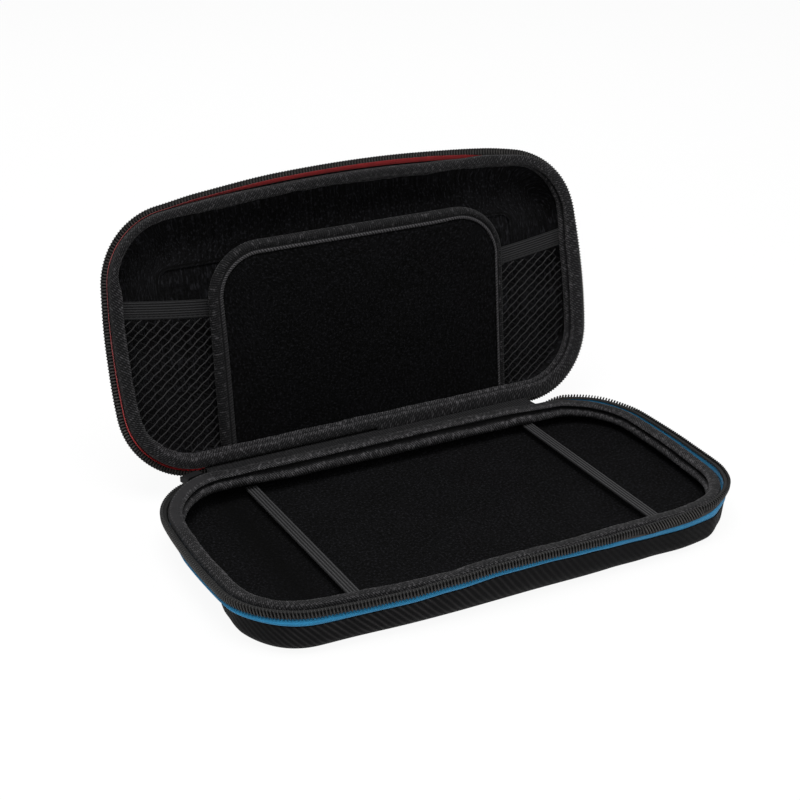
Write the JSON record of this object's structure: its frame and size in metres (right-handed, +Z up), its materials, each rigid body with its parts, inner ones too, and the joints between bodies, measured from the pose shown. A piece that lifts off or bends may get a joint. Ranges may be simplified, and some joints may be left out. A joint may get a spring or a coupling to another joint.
{
  "type": "game console case",
  "caption": "Zipped hard-shell carrying case for a hand-held console, lying open, with elastic straps in its base and a padded flap over a net pocket in its lid.",
  "frame": {"origin": "centre of the base's flat underside, on the surface that the case lies on", "axes": "+X along the case's length, +Y towards the hinge, +Z up"},
  "size_m": [0.2624, 0.1986, 0.1455],
  "materials": {
    "shell_cloth": "satin",
    "lining_fleece": "matte",
    "binding_cloth": "matte",
    "tape_blue": "matte",
    "tape_red": "matte",
    "zip_coil": "satin",
    "elastic": "matte",
    "net": "matte",
    "slider_metal": "satin"
  },
  "bodies": {
    "base": {"base_shell": "shell_cloth", "base_lining": "lining_fleece", "base_rim_binding": "binding_cloth", "base_zip_tape": "tape_blue", "base_zip_coil": "zip_coil", "strap_left": "elastic", "strap_right": "elastic", "hinge_cloth": "binding_cloth", "zip_slider": "slider_metal"},
    "lid": {"lid_shell": "shell_cloth", "lid_lining": "lining_fleece", "lid_rim_binding": "binding_cloth", "lid_zip_tape": "tape_red", "lid_zip_coil": "zip_coil", "net_pocket": "net", "pocket_elastic": "elastic", "flap_panel": "lining_fleece", "flap_binding": "binding_cloth"},
    "pull": {"zip_pull": "slider_metal"}
  },
  "joints": [
    {"name": "lid_hinge", "type": "hinge", "parent": "base", "child": "lid", "pos_m": [0, 0.07096, 0.01285], "axis": [-1, 0, 0], "range_deg": [-104.4, 33], "deforming": ["hinge_cloth"]},
    {"name": "pull_swing", "type": "hinge", "parent": "base", "child": "pull", "pos_m": [-0.1037, 0.07176, 0.0185], "axis": [0.9613, 0.2756, 0], "range_deg": [-10, 25]}
  ]
}
